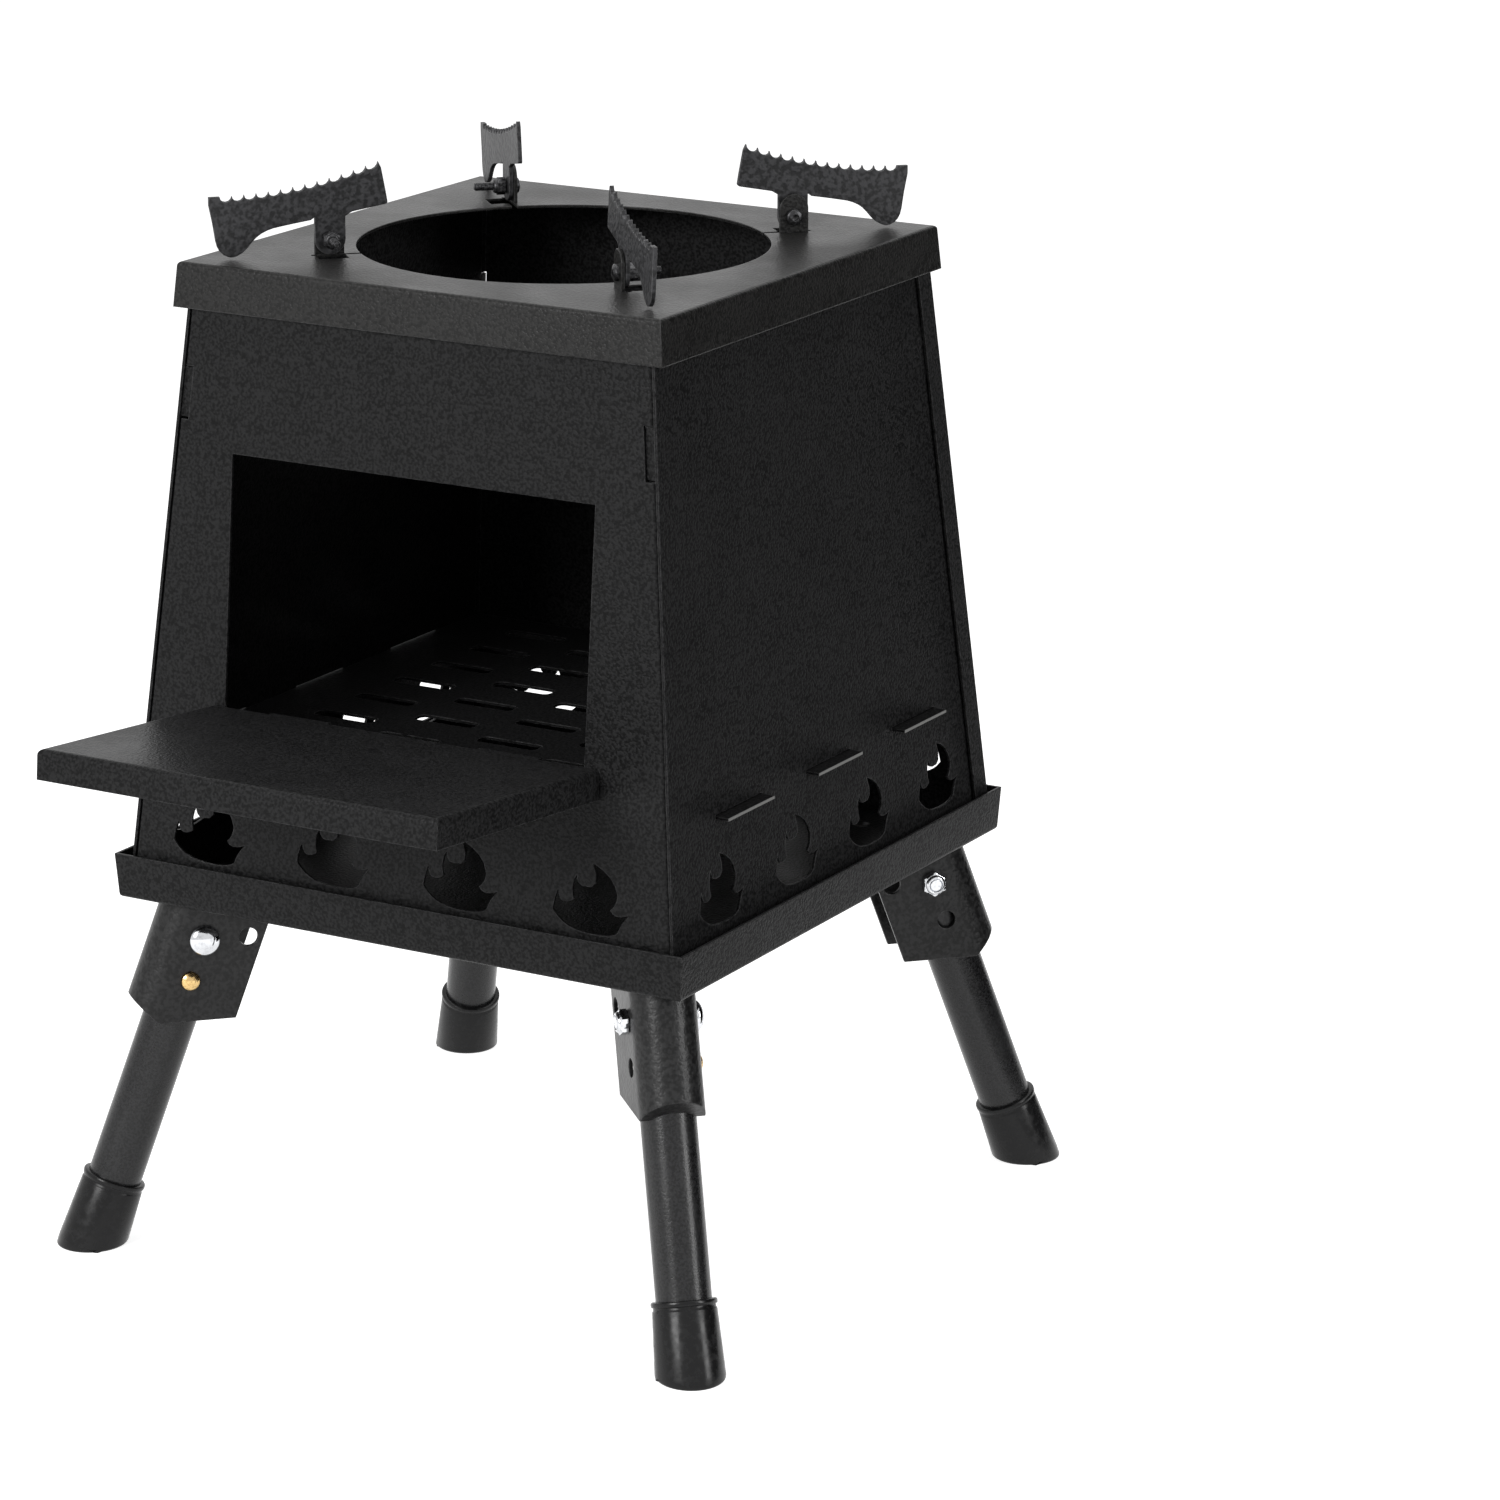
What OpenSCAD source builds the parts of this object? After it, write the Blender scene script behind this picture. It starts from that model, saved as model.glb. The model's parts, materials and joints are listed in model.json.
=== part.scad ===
// Portable wood stove of folded sheet steel on four folding legs.
// Lengths are millimetres. +Z is up and the fuel opening faces -Y.
// The origin is on the ground, under the middle of the whole stove.

/* [Sheet steel body] */
// Thickness of the sheet that the body is folded from
sheet = 1; // [0.8:0.1:1.4]
// Height from the underside of the tray to the top of the lid
body_height = 223.5; // [210:0.5:250]
// Outer radius of the folds in the sheet
fold_r = 1.5; // [1.4:0.1:2]
// Clearance between flat sheets that lie beside each other
sheet_gap = 0.2; // [0.1:0.05:0.4]

/* [Tray] */
// Outer width of the tray at its underside
tray_width = 226.6; // [215:0.2:245]
// Height of the tray with its rim
tray_height = 16; // [12:0.5:20]
// How far each side of the rim leans out at its top
tray_flare = 1; // [0.2:0.1:2]

/* [Lid] */
// Width of the lid at its top
lid_width = 190; // [180:0.5:200]
// Height of the lid with its skirt
lid_height = 15.5; // [12:0.5:20]
// How far each side of the skirt leans out at its bottom
lid_flare = 1.3; // [0.4:0.1:2]
// Room between the lid's skirt and the panels at the top
lid_room = 1.5; // [1:0.1:2.5]
// Diameter of the pot hole
pot_hole_d = 143; // [130:0.5:146]

/* [Panels] */
// Width of the back panel's folds, which lap the side panels outside
lap_width = 10; // [8:0.5:12]
// Depth of the shadow gap between such a lap and the side panel
lap_gap = 0.8; // [0.5:0.1:1.5]
// Width of the front panel's folds, which lie inside the side panels
front_lap_width = 6; // [5:0.5:8]
// Width of the fuel opening
opening_width = 144; // [120:1:150]
// Height of the fuel opening, measured up the panel
opening_height = 88.8; // [75:0.2:95]
// Height of the sill above the tray floor, measured up the panel
sill_height = 70.9; // [66:0.1:80]
// Height of the slots and notches that the side panels' tabs sit in
tab_slot_height = 18.4; // [12:0.2:20]
// Width of the slots in the back panel
tab_slot_width = 2.4; // [2:0.1:2.6]
// Distance of slots and notches below the panels' top edge
tab_slot_drop = 34.5; // [25:0.5:45]

/* [Flame vents] */
// Width of one flame
flame_width = 30; // [24:0.5:34]
// Height of one flame
flame_height = 24; // [18:0.5:27]
// Distance from flame to flame
flame_pitch = 51.3; // [46:0.1:53]
// Height of the flames' feet above the tray floor
flame_rise = 16.3; // [15:0.1:20]
// Flames on each panel
flame_count = 4; // [2:1:4]

/* [Fire grate] */
// Height of the grate's top above the tray floor
grate_rise = 52.5; // [48:0.5:58]
// Length of a punched slot
grate_slot_length = 24.5; // [18:0.5:28]
// Width of a punched slot
grate_slot_width = 7; // [5:0.5:9]
// Distance between columns of slots
grate_column_pitch = 34; // [32:0.5:38]
// Distance between slots in a column
grate_row_pitch = 25.3; // [22:0.1:30]
// Length of the tabs that hold the grate in the side panels
grate_tab_length = 31; // [24:0.5:40]
// Distance from tab to tab
grate_tab_pitch = 61.8; // [50:0.2:66]
// How far the tabs stick out of the side panels
grate_tab_reach = 5; // [3:0.5:7]
// Height of the tabs' slots in the side panels
grate_tab_slot = 1.5; // [1.3:0.1:2]

/* [Feed shelf] */
// Width of the shelf
shelf_width = 156; // [152:0.5:170]
// Depth of the shelf in front of the panel
shelf_depth = 98; // [80:0.5:110]
// Height of the shelf's skirt
shelf_skirt = 10.4; // [8:0.2:14]
// Outer radius of the shelf's folds
shelf_fold_r = 2; // [1.5:0.1:3]
// Width of one hook over the sill
hook_width = 24; // [16:1:34]
// Distance between the two hooks' middles
hook_pitch = 84; // [60:1:100]
// Length of the hooks' legs behind the sill
hook_leg = 8; // [5:0.5:12]

/* [Pot supports] */
// Length of a pot support
support_length = 61.5; // [58:0.5:64]
// Height from the lid to a support's inner tip
support_height = 31; // [28:0.5:34]
// Distance from a support's inner end to its pivot
support_inner_length = 20; // [19:0.5:21]
// Thickness of a support
support_sheet = 1.5; // [1.2:0.1:1.8]
// Distance from the stove's axis to a support's pivot
support_pivot_s = 82; // [80:0.5:86]
// Height of a support's pivot above the lid
support_pivot_rise = 5.5; // [5.3:0.1:7]
// Distance from tooth to tooth
tooth_pitch = 4.2; // [3.6:0.1:5]
// Depth of the hollows between the teeth
tooth_depth = 1.9; // [1.2:0.1:2]
// Teeth on a support
tooth_count = 13; // [8:1:13]
// Width of the lug that carries a support
lug_width = 10.2; // [9:0.2:12]
// Height of a lug above the lid
lug_height = 13.5; // [12:0.5:15]
// Thickness of a lug
lug_sheet = 1.2; // [1:0.1:1.6]
// Length of the window beside a lug, where it was bent up out of the lid
lug_window = 8.5; // [6:0.5:10]
// Diameter of the support's screw
support_screw_d = 3; // [2.5:0.5:3.5]
// Length of screw left standing out past the lock nut
support_screw_end = 7; // [3:0.5:9]

/* [Leg brackets] */
// Thickness of a bracket's sheet
bracket_sheet = 1.5; // [1.2:0.1:2]
// Gap between a bracket's inner face and the leg tube
bracket_gap = 0.3; // [0.2:0.05:0.5]
// Distance from the tube's axis out to the back of the bracket
bracket_back = 16.7; // [15.6:0.1:18]
// Distance from the tube's axis in to the free edges of the cheeks
bracket_reach = 19.8; // [18.5:0.1:22]
// Distance from the tray's corner in to the leg's pivot
pivot_inset = 27.5; // [26:0.1:32]
// Depth of the pivot below the tray
pivot_drop = 14.6; // [13.6:0.1:18]
// Depth of the cheeks below the pivot
cheek_drop = 29.4; // [27:0.2:34]
// Distance from the tube's axis out to the heel, where the back is cut off at 45 degrees
heel_out = 6.3; // [4:0.1:9]
// Width of the riveted ears at the top of a bracket
ear_width = 8; // [7:0.5:10]
// Diameter of the rivets
rivet_d = 4; // [3:0.5:4.5]

/* [Legs] */
// Outer diameter of a leg tube
tube_d = 19; // [17:0.5:20]
// Wall of a leg tube
tube_wall = 1.2; // [1:0.1:1.6]
// Angle by which a leg stands out from upright
splay = 20; // [15:0.5:22]
// Diameter of the pivot screw
pivot_screw_d = 5; // [4:0.5:6]
// Distance from the pivot to the lock button
button_drop = 15.5; // [14:0.1:17]
// Diameter of the lock button
button_d = 6.35; // [5:0.05:7]
// How far the lock button stands out of the bracket
button_out = 2.2; // [1.5:0.1:3]

/* [Feet] */
// Thickness of rubber around the tube at a foot's bottom
foot_wall = 2.5; // [2:0.1:2.8]
// Thickness of rubber around the tube at a foot's top
foot_top_wall = 1.5; // [1.3:0.1:1.9]
// Length of a rubber foot
foot_length = 25.8; // [20:0.2:30]
// Height of the bead around the top of a foot
foot_bead = 2; // [1.5:0.1:3]
// Thickness of rubber under the tube
foot_sole = 6; // [5:0.5:8]

/* [Hidden] */
$fn = 48;

// Angles of the four corners around the stove's axis, each half way between two sides
corner_angle = 360 / 8;
REAR_RIGHT = corner_angle;
REAR_LEFT = 3 * corner_angle;
FRONT_LEFT = 5 * corner_angle;
FRONT_RIGHT = 7 * corner_angle;
CORNERS = [REAR_RIGHT, REAR_LEFT, FRONT_LEFT, FRONT_RIGHT];

// Overrun of every cut past the face that it goes through
cut = 1;
// Steps in which a drawn curve and a rounded fold are divided
curve_steps = 4;
fold_steps = 6;

// Legs: they are as long as the space under the tray lets them fold
fold_room = 0.33;
foot_r = tube_d / 2 + foot_wall;
tray_half = tray_width / 2;
pivot_s = tray_half * sqrt(2) - pivot_inset;
leg_length = pivot_s - foot_r / cos(splay) - fold_room;
pivot_z = leg_length * cos(splay);
foot_s = pivot_s + leg_length * sin(splay);

// Levels above the ground
tray_z = pivot_z + pivot_drop;
floor_z = tray_z + sheet;
lid_z = tray_z + body_height;
panel_low_z = floor_z + sheet_gap;
panel_top_z = lid_z - sheet - sheet_gap / 2;
grate_z = floor_z + grate_rise;

// The leaning panels: half widths to their outer faces, and the angle that they lean in
bottom_half = tray_half - sheet - sheet_gap;
top_half = lid_width / 2 - sheet - lid_room;
panel_slope = (bottom_half - top_half) / (panel_top_z - floor_z);
lean = atan(panel_slope);
panel_length = (panel_top_z - floor_z) / cos(lean);
side_inset = sheet + lap_gap;
front_inset = side_inset + sheet / cos(lean) + sheet_gap;
fold_inset = fold_r / cos(lean);
function half_at(z) = bottom_half - (z - floor_z) * panel_slope;
function half_up(v) = bottom_half - v * sin(lean);

// Leg brackets: half widths of the channel, and the stretch that the ears take at the top
bracket_inner = tube_d / 2 + bracket_gap;
bracket_outer = bracket_inner + bracket_sheet;
bracket_centre = bracket_back - bracket_outer;
top_axis_s = pivot_s - pivot_drop * tan(splay);
ear_from = top_axis_s - bracket_reach / cos(splay) + bracket_sheet;
ear_to = top_axis_s + bracket_centre / cos(splay) - bracket_sheet;

// The tube's end turns in the bracket's rounded back, with half the gap left beside it
tube_over = bracket_centre + sqrt(pow(bracket_inner, 2) - pow((bracket_inner + tube_d / 2) / 2, 2));

// Pot supports: a support lies between its lug, at t = 0, and its lock nut
support_gap = 0.3;
support_in = support_gap;
support_out = support_gap + support_sheet;
support_from_s = support_pivot_s - support_inner_length;
neck_r = support_pivot_rise - sheet_gap;
nut_from = support_out + support_gap;

// Running clearance of a shaft in its hole, and of a thread in its nut
bore_gap = 0.05;
thread_gap = 0.02;

// Place of the origin: under the middle of the box around shelf and feet
shelf_front = shelf_depth + sheet_gap;
shelf_low = sill_height + sheet + sheet_gap - shelf_skirt;
shelf_reach = bottom_half + shelf_front * cos(lean) - shelf_low * sin(lean);
foot_long_r = foot_r / cos(splay);
foot_reach = foot_s / sqrt(2) + sqrt((pow(foot_long_r, 2) + pow(foot_r, 2)) / 2);
middle_shift = (shelf_reach - foot_reach) / 2;

// One flame, seen from outside. Each row is a corner as a share of the flame's width,
// counted from its middle, and of its height. Two more numbers bend the edge that follows.
flame_shares = [
  [0, 1, 0.29, 0.87], [0.33, 0.6, 0.33, 0.46],
  [0.245, 0.38, 0.3, 0.25], [0.49, 0.35, 0.39, 0.23],
  [0.35, 0.075, 0.28, 0.005], [0.12, 0, -0.07, -0.01],
  [-0.217, 0.033, -0.39, 0.085], [-0.497, 0.262, -0.48, 0.42],
  [-0.433, 0.56, -0.42, 0.4], [-0.36, 0.396, -0.285, 0.385],
  [-0.233, 0.446, -0.285, 0.64], [-0.2, 0.81, -0.195, 0.665],
  [-0.12, 0.654, 0.14, 0.61]
];

// One pot support below its teeth, from the horn round by the foot to its neck, and from the
// neck to the inner end, as shares of its length, counted from the inner end, and of its height.
// Rows are written as the flame's are.
support_outer_shares = [
  [1, 0.69], [1, 0.6], [0.98, 0.395], [0.966, 0.206, 0.955, 0.06],
  [0.9, 0.025, 0.87, 0], [0.831, 0.048, 0.805, 0.07],
  [0.764, 0.174, 0.72, 0.28], [0.644, 0.318, 0.55, 0.355], [0.433, 0.39]
];
support_inner_shares = [[0.2, 0.466], [0.02, 0.531, 0, 0.536], [0, 0.563], [0.01, 0.685], [0.034, 0.942]];
// The crest that the tips stand on is part of a circle: its radius, the place of its lowest
// point along the support, that point's height and the first tip's place
crest_r_share = 2.76;
crest_low_share = 0.976;
crest_height_share = 0.69;
first_tip_share = 0.05;

// One lock clip, seen along the leg's inner side, as shares of the tube's bore radius
// and of the clip's length from the pivot
clip_shares = [
  [0.9, 0.2], [0.9, 0.88, 0.88, 1], [0.45, 1, 0, 1], [-0.15, 0.9], [-0.5, 0.45],
  [-0.43, 0.45], [-0.08, 0.9, 0, 0.985], [0.45, 0.985, 0.82, 0.985], [0.83, 0.88], [0.83, 0.2]
];
clip_length = 3 * button_drop;

function bend(a, b, c, t) = pow(1 - t, 2) * a + 2 * t * (1 - t) * b + t * t * c;
function drawn(rows, w, h) = [
  for (i = [0 : len(rows) - 1])
    let (a = rows[i], b = rows[(i + 1) % len(rows)], steps = len(a) > 2 ? curve_steps : 1)
    for (k = [0 : steps - 1])
      let (t = k / steps)
      len(a) > 2 ? [w * bend(a[0], a[2], b[0], t), h * bend(a[1], a[3], b[1], t)] : [w * a[0], h * a[1]]
];

// Half of a folded sheet's profile: a side that runs from half width h0 at the open edge to h1
// at the closed one, and the rounded fold. The side goes on past the open edge by over.
function side_x(h0, h1, height, z) = h0 + (h1 - h0) * z / height;
function folded_half(h0, h1, height, r, over) =
  let (
    a = atan((h0 - h1) / height),
    cz = height - r,
    cx = side_x(h0, h1, height, cz) - r / cos(a)
  )
  concat(
    [[side_x(h0, h1, height, -over), -over]],
    [for (k = [0 : fold_steps]) let (t = a + (90 - a) * k / fold_steps) [cx + r * cos(t), cz + r * sin(t)]]
  );
function reversed(points) = [for (i = [len(points) - 1 : -1 : 0]) points[i]];
function mirrored(points) = [for (p = reversed(points)) [-p[0], p[1]]];

// A block with a square plan, rounded along its four closed edges
module block_prism(h0, h1, height, r, over) {
  half = folded_half(h0, h1, height, r, over);
  rotate([90, 0, 0])
    linear_extrude(4 * max(h0, h1), center = true)
      polygon(concat(half, mirrored(half)));
}
module block(h0, h1, height, r, over) {
  intersection() {
    block_prism(h0, h1, height, r, over);
    rotate([0, 0, 90]) block_prism(h0, h1, height, r, over);
  }
}
function inner_r(r, s) = max(r - s, s / 4);
module folded_shell(h0, h1, height, r, s) {
  wall = s / cos(atan((h0 - h1) / height));
  difference() {
    block(h0, h1, height, r, 0);
    block(h0 - wall, side_x(h0, h1, height, height - s) - wall, height - s, inner_r(r, s), cut);
  }
}

// Frames of reference
module stove() { translate([0, middle_shift, 0]) children(); }
module at_corner(a) { stove() rotate([0, 0, a]) children(); }
module at_leg(a) { at_corner(a) translate([pivot_s, 0, pivot_z]) rotate([0, -splay, 0]) children(); }
module on_front(inset) { translate([0, inset - bottom_half, floor_z]) rotate([-lean, 0, 0]) children(); }
module upright(t) { rotate([90, 0, 0]) translate([0, 0, -t]) linear_extrude(t) children(); }
module across(t0, t1) { translate([0, t1, 0]) rotate([90, 0, 0]) linear_extrude(t1 - t0) children(); }

// A shallow dome of radius r and height h
module dome(r, h) {
  ball_r = (r * r + h * h) / (2 * h);
  intersection() {
    translate([0, 0, h - ball_r]) sphere(ball_r);
    translate([-2 * r, -2 * r, 0]) cube([4 * r, 4 * r, 2 * h]);
  }
}

// Tray
rivet_places = [
  for (side = [-1, 1], s = [ear_from + ear_width * 3 / 4, ear_to - ear_width * 3 / 4])
    [s, side * (bracket_outer + ear_width / 2)]
];
rivet_gap = 0.05;
module rivet_holes(low, high) {
  for (p = rivet_places)
    translate([p[0], p[1], low]) cylinder(h = high - low, d = rivet_d + 2 * rivet_gap);
}
module base_tray() {
  color("#2b2c2e") difference() {
    stove() translate([0, 0, tray_z + tray_height]) mirror([0, 0, 1])
      folded_shell(tray_half + tray_flare, tray_half, tray_height, fold_r, sheet);
    for (a = CORNERS) at_corner(a) rivet_holes(tray_z - cut, floor_z + cut);
  }
}

// Panels
sheet_ends = 4 * fold_r;
module panel_slab() {
  translate([-tray_width, -tray_width, panel_low_z])
    cube([2 * tray_width, 2 * tray_width, panel_top_z - panel_low_z]);
}
module panel_strip(from, to) {
  low = -sheet_ends;
  high = panel_length + sheet_ends;
  polygon([
    [from - half_up(low), low], [to - half_up(low), low],
    [to - half_up(high), high], [from - half_up(high), high]
  ]);
}
module panel_face(inset) {
  low = -sheet_ends;
  high = panel_length + sheet_ends;
  polygon([
    [inset - half_up(low), low], [half_up(low) - inset, low],
    [half_up(high) - inset, high], [inset - half_up(high), high]
  ]);
}
module panel_fold() {
  corner_lean = atan(sqrt(2) * panel_slope);
  rotate([0, 0, FRONT_RIGHT])
    translate([sqrt(2) * (bottom_half - fold_inset), 0, floor_z])
      rotate([0, -corner_lean, 0])
        translate([0, 0, -sheet_ends]) cylinder(h = panel_length + 2 * sheet_ends, r = fold_r);
}
// A sheet with a fold and a lap at each side, without its openings. Its laps' outer faces lie
// inset from the stove's side faces.
module folded_panel(inset, lap) {
  intersection() {
    panel_slab();
    union() {
      on_front(0) upright(sheet) panel_face(inset + fold_inset);
      for (side = [0, 1]) mirror([side, 0, 0]) {
        rotate([0, 0, 90]) on_front(inset) upright(sheet) panel_strip(fold_inset, lap);
        translate([-inset, 0, 0]) panel_fold();
      }
    }
  }
}
module panel_cut(depth) {
  on_front(0) rotate([90, 0, 0]) translate([0, 0, -depth]) linear_extrude(depth + cut) children();
}
module flames() {
  for (i = [0 : flame_count - 1])
    translate([(i - (flame_count - 1) / 2) * flame_pitch, flame_rise])
      polygon(drawn(flame_shares, flame_width, flame_height));
}
// A strip beside a panel's right edge, between two distances in from it, as high as the slots
module slot_strip(outer, inner, play) {
  low = panel_length - tab_slot_drop - tab_slot_height + play;
  high = panel_length - tab_slot_drop - play;
  polygon([
    [half_up(low) - inner, low], [half_up(low) - outer, low],
    [half_up(high) - outer, high], [half_up(high) - inner, high]
  ]);
}
tab_play = 0.6;
notch_inset = front_inset + 2 * fold_inset + tab_play;
module tab_slots() {
  middle = side_inset + sheet / 2;
  for (side = [0, 1]) mirror([side, 0])
    slot_strip(middle - tab_slot_width / 2, middle + tab_slot_width / 2, 0);
}
module tongue_notches() {
  for (side = [0, 1]) mirror([side, 0]) slot_strip(0, notch_inset, 0);
}
module fuel_opening() {
  translate([-opening_width / 2, sill_height]) square([opening_width, opening_height]);
}
module front_panel() {
  color("#303133") stove() difference() {
    folded_panel(front_inset, front_lap_width);
    panel_cut(sheet + cut) { fuel_opening(); flames(); }
    panel_cut(3 * fold_r) tongue_notches();
  }
}
module back_panel() {
  color("#303133") stove() rotate([0, 0, 180]) difference() {
    folded_panel(0, lap_width);
    panel_cut(sheet + cut) flames();
    panel_cut(3 * fold_r) tab_slots();
  }
}
// A side panel as it lies at the front before it is turned to its side. The stove's front is
// then at its left, or at its right once it is mirrored. Its front edge is flush with the front
// panel, and a tongue bent in through that panel's notch lies behind it.
side_edge_inset = 2 * fold_inset + sheet_gap;
tongue_length = 2 * sheet;
module side_edges() {
  panel_strip(0, side_edge_inset + cut);
  slot_strip(sheet_gap, side_edge_inset + cut, tab_play);
}
module side_tongue() {
  rotate([0, 0, -90]) on_front(sheet + sheet_gap) upright(sheet)
    slot_strip(side_inset + sheet / 2, notch_inset + tongue_length, tab_play);
}
grate_tabs = [-grate_tab_pitch, 0, grate_tab_pitch];
module side_panel(side) {
  intersection() {
    panel_slab();
    union() {
      difference() {
        on_front(side_inset) upright(sheet) difference() {
          union() { panel_face(side_edge_inset); mirror([side, 0]) side_edges(); }
          flames();
        }
        for (x = grate_tabs)
          translate([x - grate_tab_length / 2 - sheet_gap, -tray_half, grate_z - sheet - sheet_gap / 2])
            cube([grate_tab_length + 2 * sheet_gap, tray_half / 2, grate_tab_slot]);
      }
      mirror([side, 0, 0]) side_tongue();
    }
  }
}
module right_panel() { color("#343537") stove() rotate([0, 0, 90]) side_panel(0); }
module left_panel() { color("#343537") stove() rotate([0, 0, -90]) side_panel(1); }

// Fire grate
grate_half_x = half_at(grate_z) - side_inset - sheet / cos(lean) - sheet_gap;
grate_half_y = half_at(grate_z) - sheet / cos(lean) - sheet_gap;
grate_tip = half_at(grate_z) - side_inset + grate_tab_reach;
grate_rim = sheet * 8;
grate_columns = floor((grate_half_x - grate_rim - grate_slot_length / 2) / grate_column_pitch);
function stepped(c) = c % 2 == 0 ? 0.5 : 0;
function slot_rows(c) = floor((grate_half_y - grate_rim - grate_slot_width / 2) / grate_row_pitch - stepped(c));
function slot_arc(x, y, r, from) = [
  for (k = [0 : curve_steps]) let (a = from + 90 * k / curve_steps) [x + r * cos(a), y + r * sin(a)]
];
module grate_slot() {
  r = grate_slot_width / 3;
  x = grate_slot_length / 2 - r;
  y = grate_slot_width / 2 - r;
  polygon(concat(slot_arc(x, y, r, 0), slot_arc(-x, y, r, 90), slot_arc(-x, -y, r, 180), slot_arc(x, -y, r, 270)));
}
module fire_grate() {
  color("#1f2022") stove() translate([0, 0, grate_z - sheet]) linear_extrude(sheet) difference() {
    union() {
      square([2 * grate_half_x, 2 * grate_half_y], center = true);
      for (y = grate_tabs) translate([0, y]) square([2 * grate_tip, grate_tab_length], center = true);
    }
    for (c = [-grate_columns : grate_columns], r = [-slot_rows(c) - 2 * stepped(c) : slot_rows(c)])
      translate([c * grate_column_pitch, (r + stepped(c)) * grate_row_pitch]) grate_slot();
    for (side = [0, 1]) mirror([side, 0]) grate_corner();
  }
}
// What the front panel's fold takes off a corner of the grate
module grate_corner() {
  x = half_at(grate_z) - front_inset - 2 * fold_inset - sheet_gap;
  translate([x, -half_at(grate_z) - cut]) square([front_inset + 2 * fold_inset, cut + front_lap_width + sheet_gap]);
}

// Lid with its pot hole and the slots that the supports swing through
lid_half = lid_width / 2;
pot_hole_r = pot_hole_d / 2;
support_slot_end = support_pivot_s + lug_width / 2 + support_sheet;
module lid() {
  color("#3a3b3d") difference() {
    stove() translate([0, 0, lid_z - lid_height])
      folded_shell(lid_half + lid_flare, lid_half, lid_height, fold_r, sheet);
    stove() translate([0, 0, lid_z - sheet - cut]) cylinder(h = sheet + 2 * cut, r = pot_hole_r);
    for (a = CORNERS) at_corner(a) {
      translate([pot_hole_r / 2, 0, lid_z - sheet - cut])
        cube([support_slot_end - pot_hole_r / 2, support_out + support_gap, sheet + 2 * cut]);
      translate([support_pivot_s - lug_width / 2, 0, lid_z - sheet - cut])
        cube([lug_width, lug_window, sheet + 2 * cut]);
    }
  }
}
module support_lug() {
  top = lug_height - lug_width / 2;
  across(-lug_sheet, 0) difference() {
    union() {
      translate([support_pivot_s - lug_width / 2, lid_z]) square([lug_width, top]);
      translate([support_pivot_s, lid_z + top]) circle(d = lug_width);
    }
    translate([support_pivot_s, lid_z + support_pivot_rise]) circle(d = support_screw_d + 2 * bore_gap);
  }
}
module support_lugs() { color("#3a3b3d") for (a = CORNERS) at_corner(a) support_lug(); }

// Pot supports
crest_r = crest_r_share * support_length;
function crest(x) =
  crest_height_share * support_height + crest_r - sqrt(pow(crest_r, 2) - pow(x - crest_low_share * support_length, 2));
first_tip = first_tip_share * support_length;
hollow_steps = 6;
function teeth() = [
  for (i = [0 : tooth_count - 1], k = [0 : hollow_steps - 1])
    let (a = 180 * k / hollow_steps, x = first_tip + (i + (1 - cos(a)) / 2) * tooth_pitch)
    [x, crest(x) - tooth_depth * sin(a)]
];
horn_from = first_tip + tooth_count * tooth_pitch;
neck_steps = 12;
neck_top = 0.42 * support_height;
function neck() = concat(
  [[support_inner_length + neck_r, neck_top]],
  [
    for (k = [0 : neck_steps]) let (a = -180 * k / neck_steps)
      [support_inner_length + neck_r * cos(a), neck_r + neck_r * sin(a)]
  ],
  [[support_inner_length - neck_r, neck_top]]
);
module support_outline() {
  translate([support_from_s, lid_z + sheet_gap]) difference() {
    polygon(concat(
      drawn(support_outer_shares, support_length, support_height),
      neck(),
      drawn(support_inner_shares, support_length, support_height),
      teeth(),
      [[horn_from, crest(horn_from)]]
    ));
    translate([support_inner_length, neck_r]) circle(d = support_screw_d + 2 * bore_gap);
  }
}
module pot_support(a) {
  color("#3d3f42") at_corner(a) across(support_in, support_out) support_outline();
}

// Screws and nuts of the pot supports: along +t in a corner's frame
support_head_r = support_screw_d * 0.95;
support_head_h = support_screw_d * 0.65;
support_nut_h = support_screw_d * 1.5;
function nut_r(width) = width / 2 / cos(30);
module at_support_pivot(a) {
  at_corner(a) translate([support_pivot_s, 0, lid_z + support_pivot_rise]) rotate([-90, 0, 0]) children();
}
module support_screws() {
  shank = lug_sheet + nut_from + support_nut_h + support_screw_end;
  color("#26272a") for (a = CORNERS) at_support_pivot(a) {
    translate([0, 0, -lug_sheet]) cylinder(h = shank, d = support_screw_d);
    translate([0, 0, -lug_sheet]) mirror([0, 0, 1]) pan_head(support_head_r, support_head_h);
  }
}
module support_nuts() {
  color("#26272a") for (a = CORNERS) at_support_pivot(a) translate([0, 0, nut_from])
    lock_nut(1.85 * support_screw_d, support_nut_h, support_screw_d);
}
module pan_head(r, h) {
  cylinder(h = h * 2 / 3, r = r);
  translate([0, 0, h * 2 / 3]) dome(r, h / 3);
}
module lock_nut(width, h, d) {
  difference() {
    union() {
      cylinder(h = h * 3 / 4, r = nut_r(width), $fn = 6);
      cylinder(h = h, r = width * 0.45);
    }
    translate([0, 0, -cut]) cylinder(h = h + 2 * cut, d = d + 2 * thread_gap);
  }
}

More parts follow.
